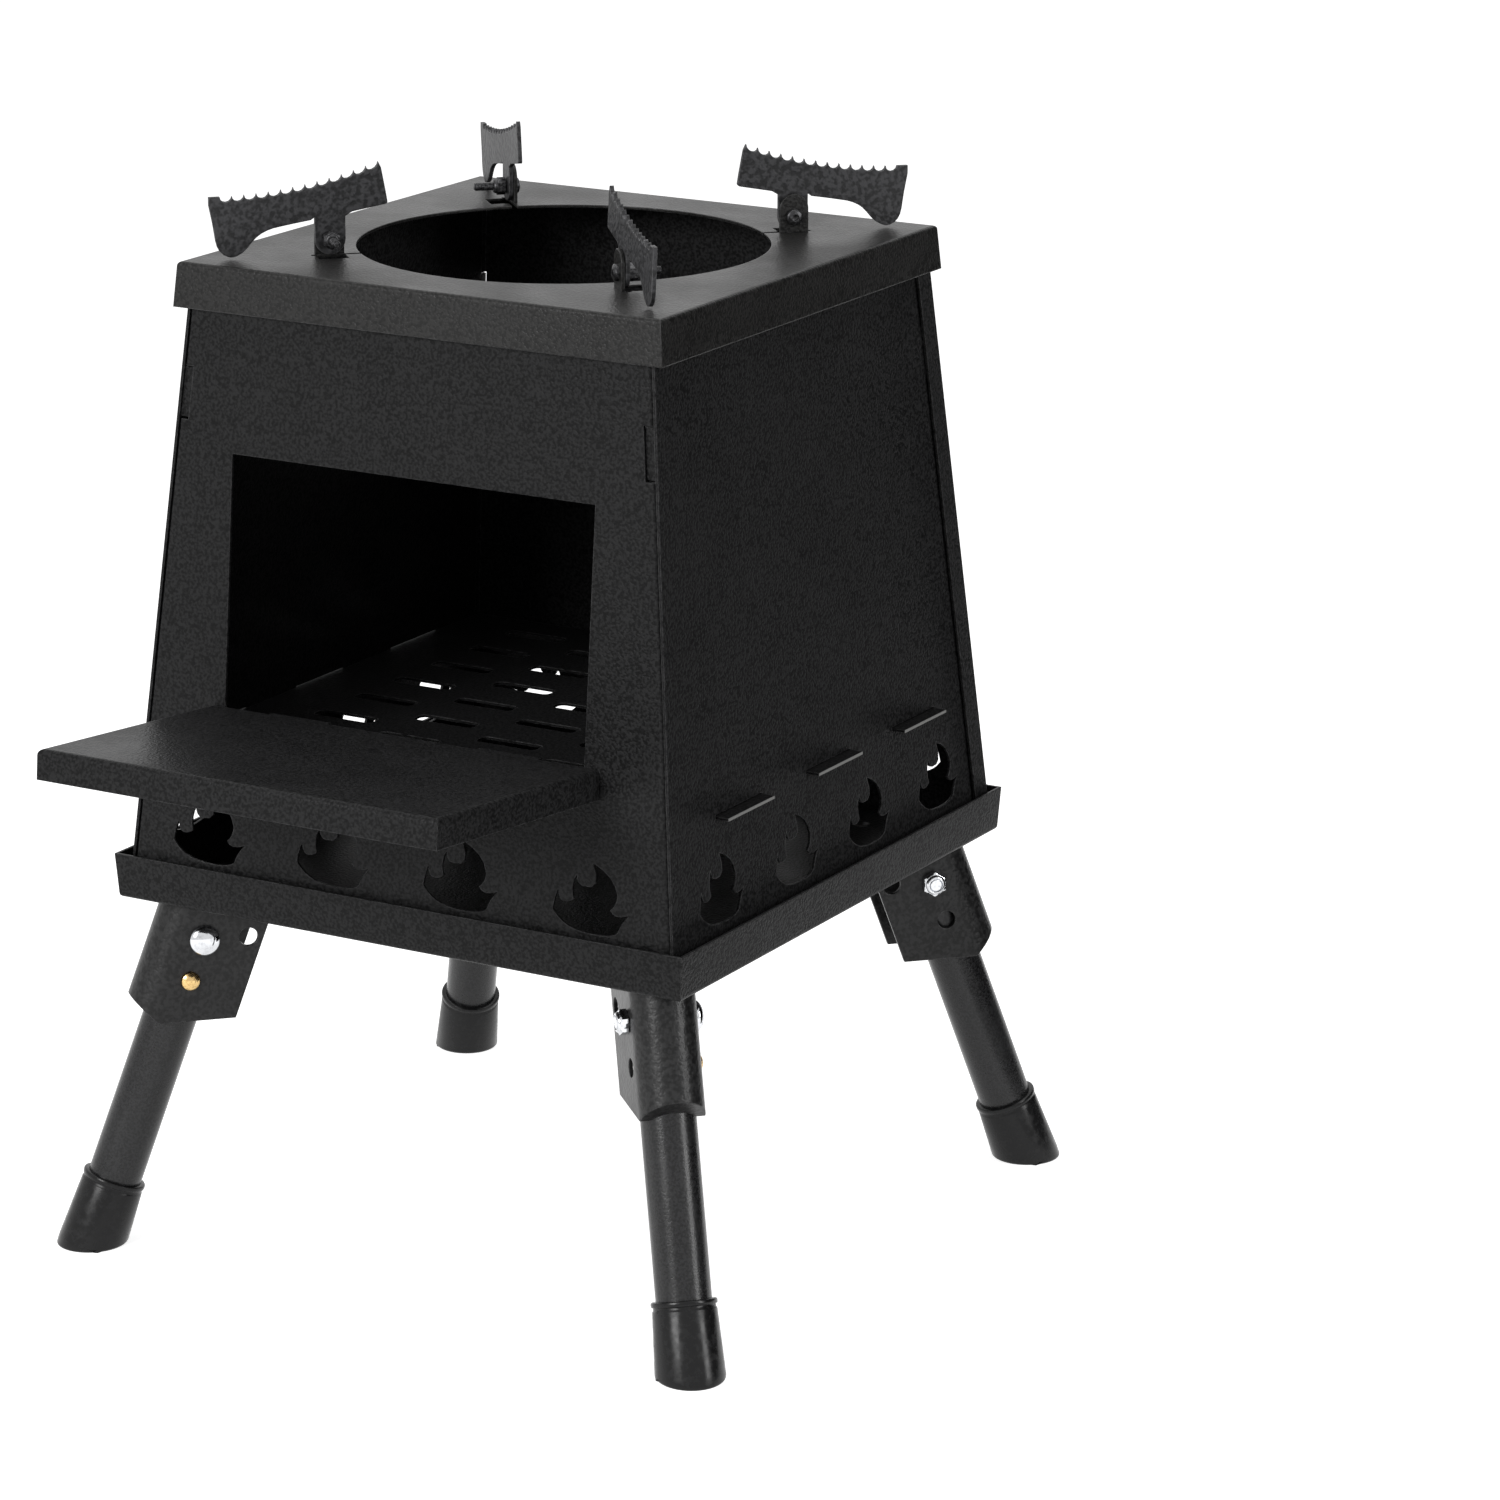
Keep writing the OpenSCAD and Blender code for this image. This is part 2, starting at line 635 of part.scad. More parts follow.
// Feed shelf: its own frame has y = 0 on the front panel and z = 0 on the sill
module shelf_block(half_w, front, rear, height, r, over) {
  side = folded_half(half_w, half_w, height, r, over);
  end = folded_half(front, front, height, r, over);
  intersection() {
    rotate([90, 0, 0]) linear_extrude(4 * front, center = true) polygon(concat(side, mirrored(side)));
    rotate([90, 0, 90]) linear_extrude(4 * half_w, center = true)
      polygon(concat([[rear, height]], mirrored(end), [[rear, -over]]));
  }
}
module shelf_hook() {
  outer = 2 * (sheet + sheet_gap);
  translate([-hook_width / 2, -2 * shelf_fold_r, 0]) cube([hook_width, 2 * shelf_fold_r + outer, sheet]);
  translate([-hook_width / 2, outer - sheet, -hook_leg]) cube([hook_width, sheet, hook_leg + sheet]);
}
module feed_shelf() {
  color("#343537") stove() on_front(0) translate([0, 0, sill_height + sheet_gap]) {
    translate([0, 0, sheet - shelf_skirt]) difference() {
      shelf_block(shelf_width / 2, shelf_front, -sheet_gap, shelf_skirt, shelf_fold_r, 0);
      shelf_block(
        shelf_width / 2 - sheet, shelf_front - sheet, cut,
        shelf_skirt - sheet, inner_r(shelf_fold_r, sheet), cut
      );
    }
    for (side = [-1, 1]) translate([side * hook_pitch / 2, 0, 0]) shelf_hook();
  }
}

// Leg brackets
module channel(r, centre, over) {
  length = 4 * (pivot_drop + cheek_drop);
  translate([pivot_s, 0, pivot_z]) rotate([0, -splay, 0]) translate([0, 0, -length / 2]) linear_extrude(length) {
    translate([centre, 0]) circle(r = r);
    translate([-bracket_reach - over, -r]) square([bracket_reach + over + centre, 2 * r]);
  }
}
module bracket_side(wall, over) {
  low = pivot_z - cheek_drop;
  heel_s = pivot_s + cheek_drop * tan(splay) + heel_out - wall * sqrt(2);
  far = tray_width;
  polygon([
    [0, tray_z + over], [far, tray_z + over], [far, low + far - heel_s],
    [heel_s - over, low - over], [0, low - over]
  ]);
}
module cross_hole(d) { rotate([90, 0, 0]) cylinder(h = 4 * bracket_outer, d = d, center = true); }
// Cheeks, back and heel: the heel closes the back's low end, open only around the tube
module bracket_shell() {
  difference() {
    intersection() {
      channel(bracket_outer, bracket_centre, 0);
      across(-tube_d, tube_d) bracket_side(0, 0);
    }
    intersection() {
      channel(bracket_inner, bracket_centre, cut);
      across(-tube_d, tube_d) bracket_side(bracket_sheet, cut);
    }
    channel(bracket_inner, 0, cut);
  }
}
module leg_bracket(a) {
  color("#2b2c2e") difference() {
    union() {
      at_corner(a) bracket_shell();
      at_corner(a) for (side = [0, 1]) mirror([0, side, 0])
        translate([ear_from, bracket_outer - bracket_sheet / 2, tray_z - bracket_sheet])
          cube([ear_to - ear_from, bracket_sheet / 2 + ear_width, bracket_sheet]);
    }
    at_leg(a) cross_hole(pivot_screw_d + 2 * bore_gap);
    at_leg(a) translate([0, 0, -button_drop]) cross_hole(button_hole_d);
    at_corner(a) translate([pivot_s - button_drop, 0, pivot_z]) cross_hole(button_hole_d);
    at_corner(a) rivet_holes(tray_z - bracket_sheet - cut, tray_z + cut);
  }
}
button_gap = 0.15;
button_hole_d = button_d + 2 * button_gap;
rivet_head_r = 0.85 * rivet_d;
rivet_head_h = 0.3 * rivet_d;
module bracket_rivets() {
  color("#3a3b3d") for (a = CORNERS) at_corner(a) for (p = rivet_places) translate([p[0], p[1], 0]) {
    translate([0, 0, tray_z - bracket_sheet]) cylinder(h = bracket_sheet + sheet, d = rivet_d);
    translate([0, 0, floor_z]) dome(rivet_head_r, rivet_head_h);
    translate([0, 0, tray_z - bracket_sheet]) mirror([0, 0, 1]) dome(rivet_head_r, rivet_head_h);
  }
}

// Legs
module leg_tube(a) {
  length = leg_length - foot_sole + tube_over;
  color("#2b2c2e") at_leg(a) difference() {
    translate([0, 0, -(leg_length - foot_sole)]) cylinder(h = length, d = tube_d);
    translate([0, 0, -(leg_length - foot_sole) - cut])
      cylinder(h = length + 2 * cut, d = tube_d - 2 * tube_wall);
    cross_hole(pivot_screw_d + 2 * bore_gap);
    translate([0, 0, -button_drop]) rotate([-90, 0, 0]) cylinder(h = tube_d, d = button_hole_d);
  }
}
module foot_outline() {
  bore_r = tube_d / 2 + thread_gap;
  top_r = tube_d / 2 + foot_top_wall;
  bead_r = top_r + foot_bead / 8;
  groove_r = top_r - foot_bead / 8;
  low = -2 * foot_r;
  polygon([
    [0, low], [foot_r, low], [foot_r, 0], [top_r, foot_length - 2 * foot_bead],
    [groove_r, foot_length - 3 * foot_bead / 2], [groove_r, foot_length - foot_bead],
    [bead_r, foot_length - foot_bead * 0.8], [bead_r, foot_length - foot_bead * 0.2],
    [bead_r - foot_bead * 0.2, foot_length], [bore_r, foot_length], [bore_r, foot_sole], [0, foot_sole]
  ]);
}
module rubber_foot(a) {
  color("#141416") intersection() {
    at_leg(a) translate([0, 0, -leg_length]) rotate_extrude() foot_outline();
    stove() translate([-tray_width, -tray_width, 0]) cube([2 * tray_width, 2 * tray_width, tray_z]);
  }
}
pivot_head_r = pivot_screw_d * 1.1;
pivot_head_h = pivot_screw_d * 0.72;
pivot_nut_h = pivot_screw_d * 0.8;
module at_pivot(a) { at_leg(a) rotate([-90, 0, 0]) children(); }
module pivot_screws() {
  shank = 2 * bracket_outer + pivot_nut_h;
  color("#b9bbbd") for (a = CORNERS) at_pivot(a) {
    translate([0, 0, bracket_outer - shank]) cylinder(h = shank, d = pivot_screw_d);
    translate([0, 0, bracket_outer]) pan_head(pivot_head_r, pivot_head_h);
  }
}
module pivot_nuts() {
  color("#b9bbbd") for (a = CORNERS) at_pivot(a) mirror([0, 0, 1]) translate([0, 0, bracket_outer])
    lock_nut(1.6 * pivot_screw_d, pivot_nut_h, pivot_screw_d);
}
module lock_clip(a) {
  bore_r = tube_d / 2 - tube_wall;
  strip_w = button_d * 0.95;
  base = bore_r * 0.86;
  dome_h = button_d / 5;
  color("#b08d4a") at_leg(a) {
    translate([-strip_w / 2, 0, 0]) rotate([90, 0, 90]) linear_extrude(strip_w)
      polygon([for (p = drawn(clip_shares, bore_r, clip_length)) [p[0], -p[1]]]);
    translate([0, 0, -button_drop]) rotate([-90, 0, 0]) {
      translate([0, 0, base]) cylinder(h = bracket_outer + button_out - dome_h - base, d = button_d);
      translate([0, 0, bracket_outer + button_out - dome_h]) dome(button_d / 2, dome_h);
    }
  }
}

base_tray();
front_panel();
back_panel();
left_panel();
right_panel();
fire_grate();
lid();
support_lugs();
support_screws();
support_nuts();
pot_support(REAR_RIGHT);  // pot_support_rear_right
pot_support(REAR_LEFT);  // pot_support_rear_left
pot_support(FRONT_LEFT);  // pot_support_front_left
pot_support(FRONT_RIGHT);  // pot_support_front_right
feed_shelf();
leg_bracket(REAR_RIGHT);  // leg_bracket_rear_right
leg_bracket(REAR_LEFT);  // leg_bracket_rear_left
leg_bracket(FRONT_LEFT);  // leg_bracket_front_left
leg_bracket(FRONT_RIGHT);  // leg_bracket_front_right
bracket_rivets();
pivot_screws();
pivot_nuts();
leg_tube(REAR_RIGHT);  // leg_tube_rear_right
leg_tube(REAR_LEFT);  // leg_tube_rear_left
leg_tube(FRONT_LEFT);  // leg_tube_front_left
leg_tube(FRONT_RIGHT);  // leg_tube_front_right
rubber_foot(REAR_RIGHT);  // rubber_foot_rear_right
rubber_foot(REAR_LEFT);  // rubber_foot_rear_left
rubber_foot(FRONT_LEFT);  // rubber_foot_front_left
rubber_foot(FRONT_RIGHT);  // rubber_foot_front_right
lock_clip(REAR_RIGHT);  // lock_clip_rear_right
lock_clip(REAR_LEFT);  // lock_clip_rear_left
lock_clip(FRONT_LEFT);  // lock_clip_front_left
lock_clip(FRONT_RIGHT);  // lock_clip_front_right
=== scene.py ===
"""Looks of the portable wood camping stove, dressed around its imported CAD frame.

Lengths are metres in the frame of the CAD model: +Z is up and the fuel opening faces -Y.
The sections follow the stove as it is put together, then the studio around it.
"""

import json
import math

import bmesh
import bpy
from mathutils import Matrix, Vector


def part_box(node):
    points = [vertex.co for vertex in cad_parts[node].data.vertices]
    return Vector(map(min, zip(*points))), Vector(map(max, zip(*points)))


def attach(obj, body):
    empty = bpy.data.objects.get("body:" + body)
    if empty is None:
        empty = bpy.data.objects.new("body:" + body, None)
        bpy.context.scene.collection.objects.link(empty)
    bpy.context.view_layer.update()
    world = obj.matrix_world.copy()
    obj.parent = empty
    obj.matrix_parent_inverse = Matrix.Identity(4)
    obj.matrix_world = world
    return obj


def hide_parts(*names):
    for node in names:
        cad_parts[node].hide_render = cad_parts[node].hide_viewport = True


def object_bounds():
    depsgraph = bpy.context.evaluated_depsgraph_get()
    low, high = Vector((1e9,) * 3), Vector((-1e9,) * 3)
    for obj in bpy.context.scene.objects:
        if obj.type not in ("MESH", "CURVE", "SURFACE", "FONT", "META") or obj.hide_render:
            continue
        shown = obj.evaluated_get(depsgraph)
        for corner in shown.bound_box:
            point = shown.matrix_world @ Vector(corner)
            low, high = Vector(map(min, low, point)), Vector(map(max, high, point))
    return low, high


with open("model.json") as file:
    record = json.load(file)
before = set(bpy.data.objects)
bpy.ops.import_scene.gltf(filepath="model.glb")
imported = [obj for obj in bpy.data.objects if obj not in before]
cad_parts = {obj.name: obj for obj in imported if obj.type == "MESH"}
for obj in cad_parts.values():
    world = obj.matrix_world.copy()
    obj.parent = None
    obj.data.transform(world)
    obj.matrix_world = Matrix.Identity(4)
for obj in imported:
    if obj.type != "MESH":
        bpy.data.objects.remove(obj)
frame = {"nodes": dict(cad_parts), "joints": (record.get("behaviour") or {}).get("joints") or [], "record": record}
nodes = frame["nodes"]
joints = {joint["name"]: joint for joint in frame["joints"]}
cad_low, cad_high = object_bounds()
MM = 0.001
CORNERS = ("rear_right", "rear_left", "front_left", "front_right")

# Tray and panels: folded from 1 mm steel sheet, slotted together, and powder coated all over.
# The coat is black with a fine hammered grain. Its pebbles are painted paler as painted glints
# and its hollows darker as painted shade. On folds and edges it lies thinner and smoother, and
# is painted paler there, partly as thin coat and partly as a painted highlight along the edges.
COAT_BLACK = (0.0125, 0.0125, 0.0128, 1)
# Edge colour: partly thin coat, partly a painted highlight along the edges.
COAT_THIN_AND_HIGHLIGHT = (0.11, 0.11, 0.112, 1)
COAT_ROUGHNESS = 0.36
COAT_SPECULAR = 0.09
COAT_GRAIN = 1.05 * MM
COAT_DEPTH = 0.08 * MM
# Pebbles are painted paler as painted glints and hollows darker as painted shade, by these shares.
HOLLOW_SHADE_SHARE = 0.3
PEBBLE_GLINT_SHARE = 1.9
SHEET_EDGE = 0.7 * MM


def new_group(name, inputs, outputs):
    """An empty shader node group with these sockets, its input node and its output node."""
    group = bpy.data.node_groups.new(name, "ShaderNodeTree")
    for label, kind, value in inputs:
        socket = group.interface.new_socket(name=label, in_out="INPUT", socket_type=kind)
        if value is not None:
            socket.default_value = value
    for label, kind in outputs:
        group.interface.new_socket(name=label, in_out="OUTPUT", socket_type=kind)
    return group, group.nodes.new("NodeGroupInput"), group.nodes.new("NodeGroupOutput")


def set_sockets(tree, sockets, values):
    """Links or sets a node's inputs in turn. A value is another node's output or a constant."""
    for socket, value in zip(sockets, values):
        if isinstance(value, bpy.types.NodeSocket):
            tree.links.new(value, socket)
        else:
            socket.default_value = value


def sum_node(tree, operation, *values):
    """The value of a Math node on sockets or numbers."""
    node = tree.nodes.new("ShaderNodeMath")
    node.operation = operation
    set_sockets(tree, node.inputs, values)
    return node.outputs[0]


def noise_node(tree, vector, scale, detail, roughness):
    """The value of a Noise Texture at that vector."""
    node = tree.nodes.new("ShaderNodeTexNoise")
    node.inputs["Detail"].default_value = detail
    node.inputs["Roughness"].default_value = roughness
    tree.links.new(vector, node.inputs["Vector"])
    if isinstance(scale, bpy.types.NodeSocket):
        tree.links.new(scale, node.inputs["Scale"])
    else:
        node.inputs["Scale"].default_value = scale
    return node.outputs[0]


def step_node(tree, value, low, high, from_value=0.0, to_value=1.0):
    """A smooth step between two values, as the given value goes from low to high."""
    node = tree.nodes.new("ShaderNodeMapRange")
    node.interpolation_type = "SMOOTHSTEP"
    set_sockets(tree, node.inputs, (value, low, high, from_value, to_value))
    return node.outputs[0]


# Hammered grain: rounded pebbles in the coat, broken up by finer ones, and cloudy patches
PEBBLE_LOW = 0.34
PEBBLE_HIGH = 0.66
PEBBLE_HEIGHT = 0.8
FINE_SCALE = 2.7
FINE_HEIGHT = 0.3
CLOUD_SCALE = 0.03
grain, grain_in, grain_out = new_group(
    "hammered_grain",
    [("Position", "NodeSocketVector", None), ("Grain", "NodeSocketFloat", COAT_GRAIN)],
    [("Height", "NodeSocketFloat"), ("Cloud", "NodeSocketFloat")],
)
where = grain_in.outputs["Position"]
grain_scale = sum_node(grain, "DIVIDE", 1.0, grain_in.outputs["Grain"])
pebbles = noise_node(grain, where, grain_scale, 1.0, 0.5)
fine_pebbles = noise_node(grain, where, sum_node(grain, "MULTIPLY", grain_scale, FINE_SCALE), 1.0, 0.5)
rounded = step_node(grain, pebbles, PEBBLE_LOW, PEBBLE_HIGH, 0.0, PEBBLE_HEIGHT)
height = sum_node(grain, "MULTIPLY_ADD", fine_pebbles, FINE_HEIGHT, rounded)
cloud = noise_node(grain, where, sum_node(grain, "MULTIPLY", grain_scale, CLOUD_SCALE), 3.0, 0.6)
grain.links.new(height, grain_out.inputs["Height"])
grain.links.new(cloud, grain_out.inputs["Cloud"])

# Soft edges: a coat or a plating rounds every edge, and rubs thin there in places. The same
# edge mask also places a painted highlight along the edges of the coats. An edge is where the
# rounded normal turns away from the face, given as the cosine of that angle.
BEVEL_SAMPLES = 6
COSINE_AT_EDGE = 0.7
COSINE_OFF_EDGE = 0.985
EDGE_BREAKUP_SCALE = 420.0
EDGE_BREAKUP_LOW = 0.33
EDGE_BREAKUP_HIGH = 0.62
edges, edges_in, edges_out = new_group(
    "soft_edges",
    [("Position", "NodeSocketVector", None), ("Radius", "NodeSocketFloat", SHEET_EDGE)],
    [("Normal", "NodeSocketVector"), ("Rubbed and highlit", "NodeSocketFloat")],
)
bevel = edges.nodes.new("ShaderNodeBevel")
bevel.samples = BEVEL_SAMPLES
edges.links.new(edges_in.outputs["Radius"], bevel.inputs["Radius"])
edges.links.new(bevel.outputs["Normal"], edges_out.inputs["Normal"])
face = edges.nodes.new("ShaderNodeNewGeometry")
facing = edges.nodes.new("ShaderNodeVectorMath")
facing.operation = "DOT_PRODUCT"
edges.links.new(bevel.outputs["Normal"], facing.inputs[0])
edges.links.new(face.outputs["Normal"], facing.inputs[1])
turned_away = step_node(edges, facing.outputs["Value"], COSINE_AT_EDGE, COSINE_OFF_EDGE, 1.0, 0.0)
# Noise breaks up the edge mask, for wear and for the painted edge highlight alike.
edge_noise = noise_node(edges, edges_in.outputs["Position"], EDGE_BREAKUP_SCALE, 3.0, 0.65)
edge_breakup = step_node(edges, edge_noise, EDGE_BREAKUP_LOW, EDGE_BREAKUP_HIGH)
edges.links.new(sum_node(edges, "MULTIPLY", turned_away, edge_breakup), edges_out.inputs["Rubbed and highlit"])


def place_group(tree, group, **values):
    """Places a node group in a material's tree. It reads Object coordinates."""
    node = tree.nodes.new("ShaderNodeGroup")
    node.node_tree = group
    place = tree.nodes.new("ShaderNodeTexCoord")
    tree.links.new(place.outputs["Object"], node.inputs["Position"])
    for label, value in values.items():
        node.inputs[label].default_value = value
    return node


def mix_node(tree, factor, first, second):
    """A mix of two colours by a factor that changes over the surface."""
    node = tree.nodes.new("ShaderNodeMix")
    node.data_type = "RGBA"
    tree.links.new(factor, node.inputs["Factor"])
    set_sockets(tree, [socket for socket in node.inputs if socket.type == "RGBA"], (first, second))
    return [socket for socket in node.outputs if socket.type == "RGBA"][0]


def bump_node(tree, height, depth, normal):
    """The surface normal with a height laid over it."""
    node = tree.nodes.new("ShaderNodeBump")
    node.inputs["Distance"].default_value = depth
    tree.links.new(height, node.inputs["Height"])
    tree.links.new(normal, node.inputs["Normal"])
    return node.outputs["Normal"]


def new_material(name):
    """A new material, its node tree and its Principled shader."""
    material = bpy.data.materials.new(name)
    material.use_nodes = True
    return material, material.node_tree, material.node_tree.nodes["Principled BSDF"]


GLOSS_SHINIER = 0.04
GLOSS_DULLER = 0.05
GLOSS_RUBBED = -0.1


def coat_material(name, colour, rubbed_and_highlit, roughness, specular, grain_size, depth):
    """Powder coat on steel: grain in the normal, painted glints and painted shade on its pebbles,
    thin coat and a painted highlight on edges, gloss in cloudy patches.
    """
    material, tree, shader = new_material(name)
    shader.inputs["Specular IOR Level"].default_value = specular
    coat = place_group(tree, grain, Grain=grain_size)
    edge = place_group(tree, edges, Radius=SHEET_EDGE)
    # Painted glints on the pebbles and painted shade in the hollows of the grain.
    hollow_shade, pebble_glint = [
        (*[share * channel for channel in colour[:3]], 1) for share in (HOLLOW_SHADE_SHARE, PEBBLE_GLINT_SHARE)
    ]
    pebbled_with_glints = mix_node(tree, coat.outputs["Height"], hollow_shade, pebble_glint)
    # Edges take the paler colour: partly thin coat, partly a painted highlight.
    tree.links.new(mix_node(tree, edge.outputs["Rubbed and highlit"], pebbled_with_glints, rubbed_and_highlit), shader.inputs["Base Color"])
    shiny, matt = roughness - GLOSS_SHINIER, roughness + GLOSS_DULLER
    cloudy = step_node(tree, coat.outputs["Cloud"], 0.3, 0.7, shiny, matt)
    gloss = sum_node(tree, "MULTIPLY_ADD", edge.outputs["Rubbed and highlit"], GLOSS_RUBBED, cloudy)
    tree.links.new(gloss, shader.inputs["Roughness"])
    normal = bump_node(tree, coat.outputs["Height"], depth, edge.outputs["Normal"])
    tree.links.new(normal, shader.inputs["Normal"])
    return material


def finish_nodes(names, material):
    """CAD nodes keep their shape and take this material."""
    for name in names:
        nodes[name].data.materials.clear()
        nodes[name].data.materials.append(material)


sheet_coat = coat_material(
    "sheet_coat", COAT_BLACK, COAT_THIN_AND_HIGHLIGHT, COAT_ROUGHNESS, COAT_SPECULAR, COAT_GRAIN, COAT_DEPTH
)
finish_nodes(("base_tray", "front_panel", "back_panel", "left_panel", "right_panel"), sheet_coat)

# Fire grate: a slotted plate of the same sheet, carried by tabs in the side panels. Its coat is
# painted darker than the panels' as painted shade inside the firebox, and is more matt.
GRATE_SHADED_BLACK = (0.007, 0.007, 0.0072, 1)
GRATE_ROUGHNESS = 0.55
GRATE_SPECULAR = 0.05
grate_coat = coat_material(
    "grate_coat", GRATE_SHADED_BLACK, COAT_THIN_AND_HIGHLIGHT, GRATE_ROUGHNESS, GRATE_SPECULAR, COAT_GRAIN, COAT_DEPTH
)
finish_nodes(("fire_grate",), grate_coat)

# The ends of its tabs are painted pale along their cut edges, as a painted highlight.
TAB_END_HIGHLIGHT = (0.22, 0.22, 0.215, 1)
TAB_HIGHLIGHT_WIDTH = 0.15 * MM
tab_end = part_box("fire_grate")[1][0]
grate_tree = grate_coat.node_tree
grate_place = grate_tree.nodes.new("ShaderNodeTexCoord")
grate_axes = grate_tree.nodes.new("ShaderNodeSeparateXYZ")
grate_tree.links.new(grate_place.outputs["Object"], grate_axes.inputs["Vector"])
out_at = sum_node(grate_tree, "ABSOLUTE", grate_axes.outputs["X"])
tab_highlight_mask = step_node(grate_tree, out_at, tab_end - TAB_HIGHLIGHT_WIDTH, tab_end - TAB_HIGHLIGHT_WIDTH / 2)
grate_colour = grate_tree.nodes["Principled BSDF"].inputs["Base Color"]
grate_with_tab_highlight = mix_node(grate_tree, tab_highlight_mask, grate_colour.links[0].from_socket, TAB_END_HIGHLIGHT)
grate_tree.links.new(grate_with_tab_highlight, grate_colour)

# Lid with its four lugs: a pressed cover with a round pot hole, dropped over the panels. Its
# coat levels out on the flat top, so that it shines at a low angle.
LID_BLACK = (0.0115, 0.0113, 0.011, 1)
LID_ROUGHNESS = 0.34
LID_SPECULAR = 0.22
lid_coat = coat_material(
    "lid_coat", LID_BLACK, COAT_THIN_AND_HIGHLIGHT, LID_ROUGHNESS, LID_SPECULAR, COAT_GRAIN, COAT_DEPTH
)
finish_nodes(("lid", "support_lugs"), lid_coat)

# Pot supports: toothed plates that swing in over the hole. They are cut by laser from thicker
# plate. Their coat is painted greyer than the panels' as a painted lit tone for the light they
# face, and is rougher, with bare tips where pots have rubbed.
SUPPORT_LIT_GREY = (0.026, 0.026, 0.0275, 1)
SUPPORT_BARE = (0.2, 0.2, 0.205, 1)
SUPPORT_ROUGHNESS = 0.44
SUPPORT_GRAIN = 1.7 * MM
SUPPORT_DEPTH = 0.12 * MM
support_coat = coat_material(
    "support_coat",
    SUPPORT_LIT_GREY,
    SUPPORT_BARE,
    SUPPORT_ROUGHNESS,
    LID_SPECULAR,
    SUPPORT_GRAIN,
    SUPPORT_DEPTH,
)
finish_nodes(["pot_support_" + corner for corner in CORNERS], support_coat)

# Screws and lock nuts of the pot supports: black M3, with a hexagon socket in the head and a
# long end of bare thread past the nut. One of each is made and set four times round the stove.
OXIDE = (0.035, 0.035, 0.037, 1)
OXIDE_WORN = (0.13, 0.13, 0.135, 1)
OXIDE_ROUGHNESS = 0.3
M3_R = 1.5 * MM
M3_PITCH = 0.5 * MM
M3_HEAD_R = 2.85 * MM
M3_HEAD_H = 1.95 * MM
M3_SOCKET_R = 1.0 * MM
M3_SOCKET_DEPTH = 1.1 * MM
LUG_SHEET = 1.2 * MM
M3_NUT_FROM = 2.1 * MM
M3_NUT_WIDTH = 5.55 * MM
M3_NUT_H = 4.5 * MM
M3_END = 13.6 * MM
TURNED_SIDES = 48
HEXAGON = 6
THREAD_DEPTH_SHARE = 0.42
OXIDE_MARKS = 1100.0
OXIDE_DEPTH = 0.01 * MM
OXIDE_METALLIC = 0.7
PLATED_EDGE = 0.2 * MM
SHINY_SHARE = 0.8
DULL_SHARE = 1.7


def metal_material(name, clean, dull, roughness, spot_scale, depth, metallic=1.0, specular=0.5):
    """Plated metal or rubber, with fine marks and duller patches in colour and gloss."""
    material, tree, shader = new_material(name)
    shader.inputs["Metallic"].default_value = metallic
    shader.inputs["Specular IOR Level"].default_value = specular
    edge = place_group(tree, edges, Radius=PLATED_EDGE)
    place = tree.nodes.new("ShaderNodeTexCoord")
    spots = noise_node(tree, place.outputs["Object"], spot_scale, 4.0, 0.6)
    dullness = step_node(tree, spots, 0.45, 0.75)
    tree.links.new(mix_node(tree, dullness, clean, dull), shader.inputs["Base Color"])
    gloss = step_node(tree, spots, 0.3, 0.8, roughness * SHINY_SHARE, roughness * DULL_SHARE)
    tree.links.new(gloss, shader.inputs["Roughness"])
    tree.links.new(bump_node(tree, spots, depth, edge.outputs["Normal"]), shader.inputs["Normal"])
    return material


oxide = metal_material(
    "black_oxide", OXIDE, OXIDE_WORN, OXIDE_ROUGHNESS, OXIDE_MARKS, OXIDE_DEPTH, OXIDE_METALLIC
)


def turned(outline, closed=False):
    """A bmesh turned round Z from rows of radius and height.

    A third number in a row is a count of flats: the row is then a polygon with that inner
    radius. A radius of 0 closes the shape at a point. A closed outline ends where it began.
    """
    made = bmesh.new()
    rings = []
    for radius, level, *flats in outline:
        ring = []
        for i in range(TURNED_SIDES if radius else 1):
            angle = 2 * math.pi * i / TURNED_SIDES
            reach = radius
            if flats:
                side = 2 * math.pi / flats[0]
                reach = radius / math.cos((angle + side / 2) % side - side / 2)
            ring.append(made.verts.new((reach * math.cos(angle), reach * math.sin(angle), level)))
        rings.append(ring)
    ends = rings[1:] + rings[:1] if closed else rings[1:]
    for low, high in zip(rings, ends):
        for i in range(TURNED_SIDES):
            j = (i + 1) % TURNED_SIDES
            loop = (low[i % len(low)], low[j % len(low)], high[j % len(high)], high[i % len(high)])
            made.faces.new(dict.fromkeys(loop))
    bmesh.ops.recalc_face_normals(made, faces=made.faces)
    return made


def as_mesh(made, name, smooth_below=35):
    """Turns a bmesh into a mesh that shades smoothly across angles under so many degrees."""
    mesh = bpy.data.meshes.new(name)
    made.to_mesh(mesh)
    made.free()
    mesh.polygons.foreach_set("use_smooth", [True] * len(mesh.polygons))
    mesh.set_sharp_from_angle(angle=math.radians(smooth_below))
    return mesh


def dome(radius, low, high, steps=8):
    """Rows of a dome, from its rim at the low level to its crown at the high one."""
    rows = []
    for i in range(steps):
        angle = math.pi / 2 * i / steps
        rows.append((radius * math.cos(angle), low + (high - low) * math.sin(angle)))
    return rows + [(0, high)]


NUT_FACE_SHARE = 0.94
NUT_COLLAR_SHARE = 0.45
NUT_CHAMFER_SHARE = 0.05
NUT_FLATS_SHARE = 0.75


